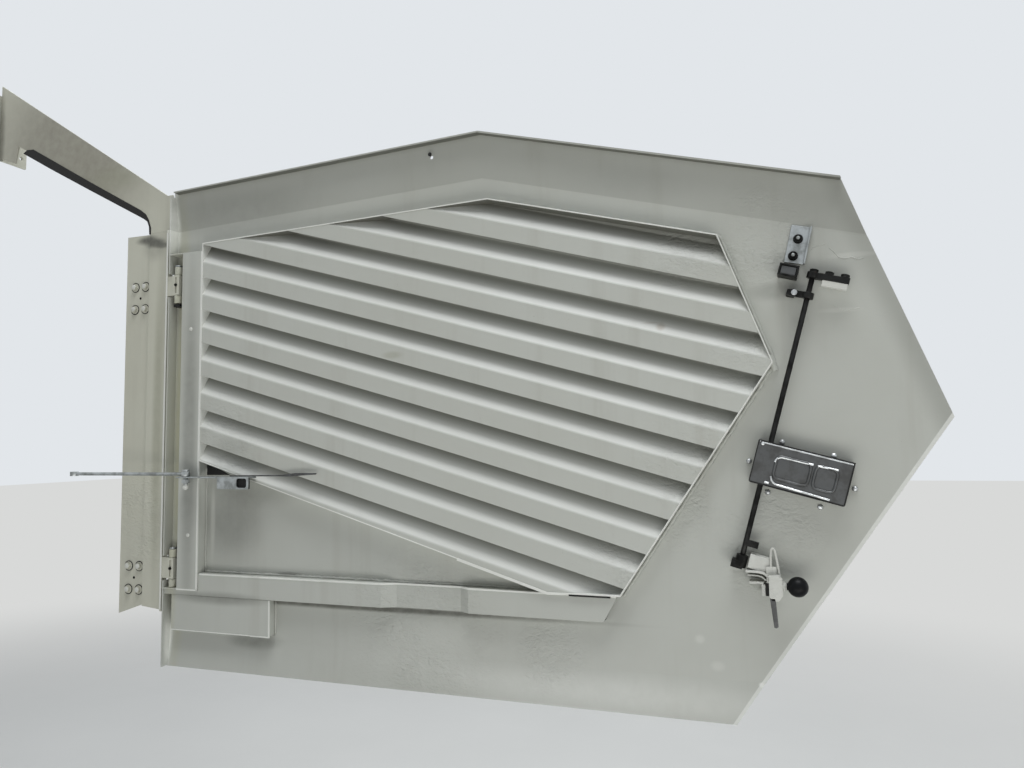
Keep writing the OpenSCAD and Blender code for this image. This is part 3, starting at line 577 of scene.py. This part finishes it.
def inset(outline, width):
    """An anticlockwise (x, z) outline moved in by a width."""
    lines = []
    for (x0, z0), (x1, z1) in sides_of(outline):
        long = math.hypot(x1 - x0, z1 - z0)
        nx, nz = -(z1 - z0) / long, (x1 - x0) / long
        lines.append((x0 + nx * width, z0 + nz * width, x1 - x0, z1 - z0))
    moved = []
    for (ax, az, adx, adz), (bx, bz, bdx, bdz) in zip(lines[-1:] + lines[:-1], lines):
        t = ((bx - ax) * bdz - (bz - az) * bdx) / (adx * bdz - adz * bdx)
        moved.append((ax + adx * t, az + adz * t))
    return moved


# The louvre: rows of one bent slat, cut to the frame that holds them

LOUVRE_OUTLINE = [(126, 600), (1183, 275), (1363, 275), (1725, 817), (1612, 1123), (1037, 1277),
                  (126, 1248)]
LOUVRE_STAND, LOUVRE_BACK = 35, 4
FRAME_WALL, FRAME_PROUD = 3, 1.2
SLAT_SHEET = 3
SLAT_START = at(126, 0, 700)
SLAT_SLOPE = 16.2
SLAT_PITCH = 0.094
SLAT_LEAD, SLAT_LENGTH = 1.4, 3.6
SLAT_PROFILE = [(-35, -42), (-35, 0), (1, 52), (1, 72)]


def slat_tree():
    """Rows of a strip that is bent along its profile, one pitch above another."""
    tree = ShapeTree("slat_rows", Rows=10, Pitch=SLAT_PITCH, Length=SLAT_LENGTH, Bend=0.006,
                     Slope=math.radians(SLAT_SLOPE), Start=(0.0, 0.0, 0.0))
    bent = tree.node("FilletCurve", {"mode": "POLY"}, {
        "Curve": tree.node("MeshToCurve", sockets={"Mesh": tree.shape}),
        "Radius": tree["Bend"], "Count": 4})
    slat = tree.node("ExtrudeMesh", {"mode": "EDGES"}, {
        "Mesh": tree.node("CurveToMesh", sockets={"Curve": bent}),
        "Offset": tree.vector(X=tree["Length"])})
    ladder = tree.node("MeshLine", sockets={
        "Count": tree["Rows"], "Offset": tree.vector(Z=tree["Pitch"])})
    rows = tree.node("InstanceOnPoints", sockets={"Points": ladder, "Instance": slat})
    tree.end(tree.node("Transform", sockets={
        "Geometry": rows, "Rotation": tree.vector(Y=tree["Slope"]),
        "Translation": tree["Start"]}), louvre_paint)
    return tree


slat_mesh = slat_tree().make(
    [(-SLAT_LEAD, y / 1000, z / 1000 - SLAT_PITCH) for y, z in SLAT_PROFILE],
    [(0, 1), (1, 2), (2, 3)], Start=tuple(SLAT_START))


def cut_slats(bm):
    """The slats as sheet metal, cut along the middle of the frame's wall."""
    bm.from_mesh(slat_mesh)
    tidy(bm)
    if sum(face.normal.y * face.calc_area() for face in bm.faces) > 0:
        bmesh.ops.reverse_faces(bm, faces=bm.faces)
    bmesh.ops.solidify(bm, geom=list(bm.faces), thickness=SLAT_SHEET / 1000)
    for (x0, z0), (x1, z1) in sides_of(inset(LOUVRE_OUTLINE, FRAME_WALL / 2)):
        outwards = Vector((z1 - z0, 0, x0 - x1)).normalized()
        bmesh.ops.bisect_plane(bm, geom=list(bm.verts) + list(bm.edges) + list(bm.faces),
                               plane_co=at(x0, 0, z0), plane_no=outwards, clear_outer=True)
    bmesh.ops.holes_fill(bm, edges=[edge for edge in bm.edges if edge.is_boundary])
    for edge in bm.edges:
        edge.smooth = edge.calc_face_angle(math.pi) < math.radians(40)


def louvre_frame(bm):
    """The wall round the slats, open to the front and the back."""
    inner = inset(LOUVRE_OUTLINE, FRAME_WALL)
    front, back = -LOUVRE_STAND - FRAME_PROUD, LOUVRE_BACK
    skin(bm, [[(x, y, z) for x, z in outline] for outline, y in (
        (LOUVRE_OUTLINE, front), (LOUVRE_OUTLINE, back), (inner, back), (inner, front))],
         capped=False)


slats = piece("louvre_slats", new_mesh("louvre_slats", cut_slats), louvre_paint)
# The wall round the slats is in the lighter paint: its bright rim is a painted highlight
piece("louvre_surround", new_mesh("louvre_surround", louvre_frame), highlight_paint, 0.8)
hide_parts("louvre")
for polygon in slats.data.polygons:
    polygon.use_smooth = True
even = slats.modifiers.new("even", "WEIGHTED_NORMAL")
even.keep_sharp = True

# Painted shade: dark plates under the louvre's upper wall and the door's top lip, and a black
# strip in the gap at the louvre's foot; the foot's strip in the lighter paint is a painted
# highlight
UNDER_WALL = [(127, 1244.9), (1037, 1273.9), (1608, 1120.9), (1606, 1119), (1037, 1272.4),
              (127, 1243.4)]
UNDER_LIP = [(17, 1415.6), (1012, 1459.4), (1882, 1227), (1882, 1224.6), (1012, 1457),
             (17, 1413.2)]
FOOT_STRIP = [(944, 344.6), (1183, 271.6), (1225, 272), (1232, 275), (1358, 275), (1358, 278),
              (1184, 278.4), (946, 352)]
plates("under_wall", [(UNDER_WALL, 0.4 - LOUVRE_STAND, -2)], shade_lining_paint)
plates("under_lip", [(UNDER_LIP, -35.6, -16)], shade_lining_paint)
plates("foot_gap", [(box(1238, 1340, 271, 275), -37.6, -35)], black_seams_and_shade, slot="paint")
plates("foot_strip", [(FOOT_STRIP, -37.2, -35.2)], highlight_paint, 0.6)


# Beads of weld and sealing paint

def bead_tree():
    """A lumpy round bead along the edges of a mesh."""
    tree = ShapeTree("beads", Radius=0.004, Lumps=0.0022, Grain=90.0)
    path = tree.node("ResampleCurve", {"mode": "LENGTH"}, {
        "Curve": tree.node("MeshToCurve", sockets={"Mesh": tree.shape}), "Length": 0.005})
    ring = tree.node("CurvePrimitiveCircle", {"mode": "RADIUS"}, {
        "Resolution": 8, "Radius": tree["Radius"]})
    tube = tree.node("CurveToMesh", sockets={
        "Curve": path, "Profile Curve": ring, "Fill Caps": True})
    grain = tree.node("ShaderNodeTexNoise", None, {"Scale": tree["Grain"], "Detail": 3.0},
                      output="Fac")
    swell = tree.maths("MULTIPLY", tree.maths("SUBTRACT", grain, 0.5), tree["Lumps"])
    push = tree.node("ShaderNodeVectorMath", {"operation": "SCALE"}, {
        0: tree.node("InputNormal"), "Scale": swell})
    lumpy = tree.node("SetPosition", sockets={"Geometry": tube, "Offset": push})
    tree.end(tree.node("SetShadeSmooth", sockets={"Geometry": lumpy}), door_paint)
    return tree


beads = bead_tree()


def bead(line, depth, radius, lumps, closed=False):
    """A bead along an (x, z) line at one depth, its radius and lumps in millimetres."""
    count = len(line) if closed else len(line) - 1
    return beads.make(places((x, depth, z) for x, z in line),
                      [(i, (i + 1) % len(line)) for i in range(count)],
                      Radius=radius / 1000, Lumps=lumps / 1000)


WELD_DEPTH, RUN_DEPTH = -0.5, 0.8
surround_line = inset(LOUVRE_OUTLINE, -4)
piece("seam_beads", joined("seam_beads", [bead(*line) for line in [
    (surround_line[6:1:-1], WELD_DEPTH, 4.5, 8),
    ([(1729, 800), (1718, 836)], WELD_DEPTH, 8, 10),
    ([(128, 280), (128, 590)], WELD_DEPTH, 3, 4),
    ([(374, 116), (374, 208)], WELD_DEPTH, 3, 4),
    ([(10, 110), (370, 110)], WELD_DEPTH, 2.5, 4),
    ([(130, 277), (1170, 277)], WELD_DEPTH, 4, 12),
    ([(1817, 1076), (1832, 1082), (1847, 1085)], RUN_DEPTH, 1.6, 2),
    ([(1855, 1075), (1865, 1065), (1875, 1051), (1889, 1048), (1902, 1050), (1914, 1043),
      (1926, 1046)], RUN_DEPTH, 1.8, 2),
    ([(1858, 943), (1870, 936), (1884, 928), (1897, 932), (1913, 933)], RUN_DEPTH, 1.6, 2),
    ([(6, 210), (1300, 210), (1358, 276)], WELD_DEPTH, 2.5, 4)]]), door_paint)


# Bolts, nuts and screws, which face the viewer unless Turn says otherwise

FACING = (math.pi / 2, 0.0, 0.0)
FACING_BACK = (-math.pi / 2, 0.0, 0.0)


def bolt_tree():
    """A hexagon on its washer, with a round tail out of its top."""
    tree = ShapeTree("hex_bolts", Across=0.0085, Height=0.007, Washer=0.012, Sheet=0.002,
                     Tail=0.0, Turn=FACING)

    def cylinder(sides, radius, depth, above=0.0):
        """A cylinder that stands on a height."""
        rod = tree.node("MeshCylinder", sockets={
            "Vertices": sides, "Radius": radius, "Depth": depth})
        return tree.node("Transform", sockets={
            "Geometry": rod,
            "Translation": tree.vector(Z=tree.maths("MULTIPLY_ADD", depth, 0.5, above))})

    tail_radius = tree.maths("MULTIPLY", tree["Across"], 0.56)
    whole = tree.node("JoinGeometry", sockets={
        "Geometry": cylinder(6, tree["Across"], tree["Height"], tree["Sheet"])})
    for part in (cylinder(20, tree["Washer"], tree["Sheet"]),
                 cylinder(14, tail_radius, tree["Tail"], tree["Height"])):
        tree.group.links.new(part, whole.node.inputs["Geometry"])
    tree.spread(whole, dark_steel)
    return tree


def dome_tree():
    """A smooth ball, flattened by Height."""
    tree = ShapeTree("dome_screws", Radius=0.006, Height=0.5, Turn=FACING)
    ball = tree.node("MeshUVSphere", sockets={
        "Segments": 16, "Rings": 10, "Radius": tree["Radius"]})
    dome = tree.node("Transform", sockets={
        "Geometry": ball, "Scale": tree.vector(X=1.0, Y=1.0, Z=tree["Height"])})
    tree.spread(tree.node("SetShadeSmooth", sockets={"Geometry": dome}), zinc)
    return tree


bolts = bolt_tree()
domes = dome_tree()


def post_places(y, shift=0):
    """The eight bolts of the hinge leaves, at one depth and moved up and across by a shift."""
    return [(x + shift, y, z + shift) for x in (-160, -120) for z in (212, 282, 1071, 1141)]


fixings("post_bolts", bolts, post_places(0), post_paint, 0.6, "post",
        Across=0.0095, Height=0.008, Washer=0.013)
fixings("post_nuts", bolts, post_places(12), zinc, 0.6, "post",
        Across=0.0095, Height=0.008, Washer=0.012, Tail=0.005, Turn=FACING_BACK)
# Dark washers under the bolt heads, whose darkness is also painted shade round the bolts
fixings("post_washers_and_shade", bolts, post_places(-0.1), dark_steel, 0, "post",
        Across=0.006, Height=0.002, Washer=0.0155, Sheet=0.0012)
fixings("bolt_faces", domes, post_places(-9.5, 1), white_paint, 0, "post",
        Radius=0.0075, Height=0.35)
fixings("post_rivets", domes, [(-140, 0, 1106), (-140, 0, 247)], dark_steel, 0, "post",
        Radius=0.004)
fixings("channel_screws", domes, [(89, -35, 991), (92, -35, 385)], white_paint)
piece("case_screws", joined("case_screws", [
    domes.make(places([(1664, 0, 593), (1738, 0, 636), (1846, 0, 604), (1703, 0, 522),
                       (1813, 0, 490), (1886, 0, 531)]), Radius=0.0065, Height=0.8),
    domes.make(places([(1697, -38, 633)]), Radius=0.004)]), bright_steel_and_highlights)
PLATE_NUTS = [(1789.6, 1101), (1777.3, 1062.5)]
fixings("plate_nuts", bolts, [(x, -4, z) for x, z in PLATE_NUTS], dark_steel, 0.6,
        Across=0.0095, Height=0.008, Washer=0.011, Tail=0.005)
fixings("plate_studs", domes, [(x, -17, z) for x, z in PLATE_NUTS], zinc, Radius=0.0042)
# The latch rod leans by this many degrees, and the hook and the lock case lean with it
ROD_LEAN = 15.4
fixings("hook_nuts", bolts, [(1819, -26, 1015), (1851, -26, 1006), (1883, -26, 997.5)],
        dark_steel, 0.6, Across=0.0095, Height=0.006, Washer=0.0105, Tail=0.003,
        Turn=(0.0, math.radians(ROD_LEAN), 0.0))
fixings("guide_screw", bolts, [(1776, -32, 973)], bright_steel_and_highlights, 0.5,
        Across=0.005, Height=0.002, Washer=0.0066, Tail=0.001)
fixings("guide_socket", domes, [(1776, -34.6, 973)], black_seams_and_shade, Radius=0.0026, Height=0.4)
fixings("pivot_cap", domes, [(112, -70, 527)], white_paint, Radius=0.009, Height=0.9)
fixings("hinge_screws", bolts, [(26, -31, 1130), (26, -31, 286)], dark_steel, 0, "post",
        Across=0.004, Height=0.002, Washer=0.0045)


# The latch: lock case, catch and handle

CASE_FOOT = (1637, 356)
CASE_SIDE, CASE_RISE = 26, 193
CASE_FACE, CASE_BACK = -38.8, -36


def on_case(outline):
    """An outline drawn on the lock case, from its lower left corner, as it lies on the door."""
    return leaning([(x - CASE_SIDE, z + CASE_RISE) for x, z in outline], ROD_LEAN, CASE_FOOT)


def rounded_loop(x0, x1, z0, z1, radius, steps):
    """A box whose corners are arcs of some steps."""
    loop = []
    for cx, cz, start in ((x1 - radius, z1 - radius, 0), (x0 + radius, z1 - radius, 90),
                          (x0 + radius, z0 + radius, 180), (x1 - radius, z0 + radius, 270)):
        for i in range(steps + 1):
            angle = math.radians(start + 90 * i / steps)
            loop.append((cx + radius * math.cos(angle), cz + radius * math.sin(angle)))
    return loop


piece("case_beads", joined("case_beads", [
    bead(on_case(rounded_loop(x0, x1, 21, 72, 11, 6)), -38.6, 3.4, 0.2, closed=True)
    for x0, x1 in ((47, 121), (131, 177))]), case_steel)
plates("case_edge", [
    (on_case(box(12, 203, 91.5, 94.6)), CASE_FACE, -37),
    (on_case(box(3, 5, 93, 97)), -38.6, -37)], bright_steel_and_highlights, 0.6)
plates("case_seam", [(on_case(box(*strip)), CASE_FACE, CASE_BACK) for strip in (
    (0.4, 205.4, 95.8, 98), (202.4, 205.6, 2, 96), (-0.6, 1.8, 2, 96), (2, 203, -0.9, 2.4))],
       black_seams_and_shade)
# Bright strips along the pressed beads are painted highlights
piece("case_ridge_highlights", joined("case_ridge_highlights", [bead(ridge, -39.4, 2.7, 0.4) for ridge in (
    [(1720.9, 591.8), (1726, 599.5), (1734.4, 602.3), (1801.1, 584.9)],
    [(1811, 582.1), (1851.8, 572.9)],
    [(1710.9, 560.7), (1712.5, 549), (1719.5, 542.3), (1830.8, 508.4)],
    [(1697, 547), (1706, 544.5)])]), bright_steel_and_highlights)
plates("catch_floor", [(leaning(box(5, 38, 5, 23), 16, (1741, 1016)), -36, -33)],
       case_steel, 0.6)

HANDLE_SIDE = [(1699, 342), (1699, 297), (1704, 288), (1719, 288), (1728, 300), (1728, 335),
               (1721, 344)]
BALL_NECK = (1727, -48, 320)
NECK_PROFILE = [(0, 6.5), (2, 10), (4.5, 10.5), (6, 8), (8, 8.5), (9, 7)]
NECK_SIDES = 20


def handle_shape(bm):
    """The handle's body on its foot, and the turned neck that carries the ball."""
    prism(bm, HANDLE_SIDE, -56, -40)
    prism(bm, box(1694, 1716, 324, 360), -40, -34)
    x, y, z = BALL_NECK
    turns = [2 * math.pi * i / NECK_SIDES for i in range(NECK_SIDES)]
    skin(bm, [[(x + along, y + radius * math.sin(turn), z + radius * math.cos(turn))
               for turn in turns] for along, radius in NECK_PROFILE])


def strap(path, thick):
    """The outline of a bent strip: a path of (x, z) with a thickness under it."""
    under = []
    for i, (x, z) in enumerate(path):
        (ax, az), (bx, bz) = path[max(i - 1, 0)], path[min(i + 1, len(path) - 1)]
        long = math.hypot(bx - ax, bz - az)
        under.append((x + (bz - az) / long * thick, z - (bx - ax) / long * thick))
    return path + under[::-1]


handle = piece("handle_body", new_mesh("handle_body", handle_shape), white_paint, 1.4)
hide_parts("pull_handle")
plates("handle_blade", [
    ([(1700, 294), (1712, 294), (1716, 233), (1712, 230), (1707, 231)], -56, -51)],
       case_steel, 0.8)
plates("handle_straps", [
    (strap([(1650, 351), (1678, 350), (1690, 347), (1699, 340), (1706, 328)], 5), -42, -14),
    (strap([(1654, 342), (1676, 341), (1686, 338), (1694, 331)], 3.5), -38, -12)],
       white_paint, 1)
plates("handle_keeper", [
    (box(1657, 1688, 320, 326), -34, -8), (box(1683, 1691, 294, 320), -34, -10)],
       white_paint, 1)
plates("handle_stop", [(box(1691.5, 1698.5, 294, 324), -32, -10)], dark_steel, 1)
piece("handle_fork", bead(
    [(1704, 345), (1704.5, 380), (1705.5, 396), (1709, 402), (1713, 397), (1718, 370),
     (1722, 340)], -37, 2.6, 0.6), white_paint)
plates("foot_block", [(leaning(box(-14, 12, -8, 10), ROD_LEAN, (1632, 362)), -38, -6)],
       dark_steel, 1)


# The stay's shelf: a plate on the channel, its rod clip and the prong behind

SHELF_OUTLINE = [(84, -80), (336, -80), (336, -44), (326, -35), (84, -35)]
SHELF_UNDER, SHELF_TOP = 552, 556
CLIP_FRONT, CLIP_BACK = -80, -76
PRONG = [(250, 556.2), (400, 557), (452, 556.5), (500, 560), (534, 562), (536, 566), (500, 566.5),
         (468, 566), (430, 562), (400, 560.5), (250, 559.5)]


def shelf_shape(bm):
    """The shelf's plate, which lies flat."""
    skin(bm, [[(x, y, z) for x, y in SHELF_OUTLINE] for z in (SHELF_UNDER, SHELF_TOP)])


def clip_shape(bm):
    """The clip's plate with its rounded window."""
    outer = rounded_loop(230, 336, 522, 553, 4, 6)
    window = rounded_loop(296, 329.5, 526, 552, 7, 6)
    skin(bm, [[(x, y, z) for x, z in loop] for loop, y in (
        (outer, CLIP_FRONT), (outer, CLIP_BACK), (window, CLIP_BACK), (window, CLIP_FRONT))],
         capped=False)


shelf = piece("shelf_plate", new_mesh("shelf_plate", shelf_shape), zinc, 1.2)
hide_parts("stay_shelf")
piece("rod_clip", new_mesh("rod_clip", clip_shape), zinc, 1.4)
plates("clip_shadow", [(box(290, 334, 523, 553), -71, -70)], black_seams_and_shade, slot="zinc")
plates("stay_prong", [(PRONG, -52, -47)], case_steel, 0.8, slot="zinc")


# Painted highlights along edges in the lighter paint, painted shade in dark pieces, and small
# things on the door and the arm

plates("pocket_lip", [
    (box(30, 310, 109.5, 112.6), -29, -24.5), (box(310, 372.6, 108.5, 112.6), -29.4, -24.5),
    (box(368.6, 372.8, 112, 211), -29, -25)], highlight_paint, 0.6)
plates("channel_lip", [
    (box(122, 127, 228, 1224), -35.9, -31), (box(53.5, 127, 226, 230.5), -35.9, -31)],
       highlight_paint, 0.6)
plates("post_edge", [(box(-18.2, -12.2, 164, 1296), -24.9, -23.4)], highlight_paint, 0.5,
       body="post")
# A dark band along the arm's lower edge is painted shade, for the shade on the arm's underside
ARM_SHADE_BAND = [(-651, 1638), (-634, 1648), (-605, 1646), (-352, 1503), (-138, 1385), (-117, 1370),
            (-104, 1350), (-95, 1323), (-95, 1303), (-101, 1303), (-103, 1328), (-110, 1345),
            (-124, 1355), (-351, 1475), (-521, 1566)]
plates("arm_shade_band", [(ARM_SHADE_BAND, -11.5, 60)], black_seams_and_shade, 0.8, body="post")

# The stiffener's top edge in the lighter paint is a painted highlight
BAR_PATH = [(130, -30), (723, -30), (761, -12), (945, -12), (972, -30), (1352, -30)]
BAR_LIP = [(0.9, 271), (0.9, 275.6), (-5, 275.6), (-5, 271)]
piece("bar_lip", new_mesh("bar_lip", lambda bm: skin(
    bm, [[(x, y - proud, z) for proud, z in BAR_LIP] for x, y in BAR_PATH])), highlight_paint, 0.8)

# Painted shade: a black triangle under the louvre's lower left corner, and a dark dome in the
# drain hole
plates("corner_shade", [([(127, 558), (210, 558), (127, 596)], -3, -0.5)], black_seams_and_shade, 0.5)
fixings("drain_shade", domes, [(868.5, -24, 1421)], black_seams_and_shade, Radius=0.0056)
plates("post_clips", [(box(14, 38, z, z + 8), -26, -2) for z in (221, 1064)], dark_steel, 1)


# Camera, floor and light

CAMERA_PLACE = at(1738.33, -1866.55, 643.47)
CAMERA_RIGHT = Vector((0.94378, 0.33033, -0.01256))
CAMERA_UP = Vector((0.03669, -0.06691, 0.99708))
SENSOR_WIDTH, LENS = 36, 27.07
FLOOR_HEIGHT, FLOOR_SIZE = -2.06, 60
HAZE_START, HAZE_FULL = 2.5, 7

camera_data = bpy.data.cameras.new("camera")
camera_data.sensor_width = SENSOR_WIDTH
camera_data.lens = LENS
camera = bpy.data.objects.new("camera", camera_data)
aim = Matrix((CAMERA_RIGHT, CAMERA_UP, CAMERA_RIGHT.cross(CAMERA_UP))).transposed()
camera.matrix_world = Matrix.Translation(CAMERA_PLACE) @ aim.to_4x4()
bpy.context.scene.collection.objects.link(camera)
bpy.context.scene.camera = camera

bpy.ops.mesh.primitive_plane_add(size=FLOOR_SIZE, location=(0, 0, FLOOR_HEIGHT))
floor = bpy.context.object
floor.name = "floor"
ground = Finish("ground", None, colour(228, 228, 225), Roughness=0.9)
ground.coat(ground.noise(1.2, 5), colour(238, 238, 235))
far = ground.node("ShaderNodeVectorMath", {"operation": "LENGTH"}, {0: ground.place},
                  output="Value")
haze = ground.node("ShaderNodeEmission", None, {"Color": colour(216, 217, 216), "Strength": 1.0})
ground.show(ground.node("ShaderNodeMixShader", None, {
    0: ground.step(far, HAZE_START, HAZE_FULL), 1: Amount(ground, ground.shader.outputs[0]),
    2: haze}))
ground.on(floor)


def lamp(name, place, target, size, power, tint):
    """A soft rectangular lamp that faces a target, its size in metres and its power in watts."""
    data = bpy.data.lights.new(name, "AREA")
    data.shape = "RECTANGLE"
    data.size, data.size_y = size
    data.energy = power
    data.color = tint
    made = bpy.data.objects.new(name, data)
    made.location = place
    made.rotation_euler = (Vector(target) - Vector(place)).to_track_quat("-Z", "Y").to_euler()
    bpy.context.scene.collection.objects.link(made)


lamp("sky_high", (2.3, -2.0, 6.6), (1.4, 0, -0.4), (4.5, 3), 368, (0.96, 0.98, 1))
lamp("ground_light", (2.3, -2.2, -1.98), (2.3, -2.2, 2), (3.6, 1.6), 46, (1, 0.99, 0.96))
lamp("sky_behind", (0.9, 3.6, 5.4), (0.9, 0.3, -1.2), (6, 4), 190, (0.95, 0.98, 1))

# The sky is seen pale by the camera and in gloss, and lights the door at its own level
SKY_LIGHT = 0.16
world = bpy.data.worlds.new("sky")
bpy.context.scene.world = world
world.use_nodes = True
sky = Shading(world.node_tree)
sky.tree.nodes.remove(sky.tree.nodes["Background"])
seen, *others = [sky.node("ShaderNodeLightPath", output=ray) for ray in (
    "Is Camera Ray", "Is Glossy Ray", "Is Transmission Ray")]
for ray in others:
    seen = seen.maths("MAXIMUM", ray)
shown = sky.node("ShaderNodeBackground", None, {"Color": colour(226, 230, 234), "Strength": 1.0})
lit = sky.node("ShaderNodeBackground", None, {
    "Color": colour(222, 228, 236), "Strength": SKY_LIGHT})
sky.show(sky.node("ShaderNodeMixShader", None, {0: seen, 1: lit, 2: shown}))

bpy.context.scene.view_settings.view_transform = "Standard"

bpy.context.view_layer.update()
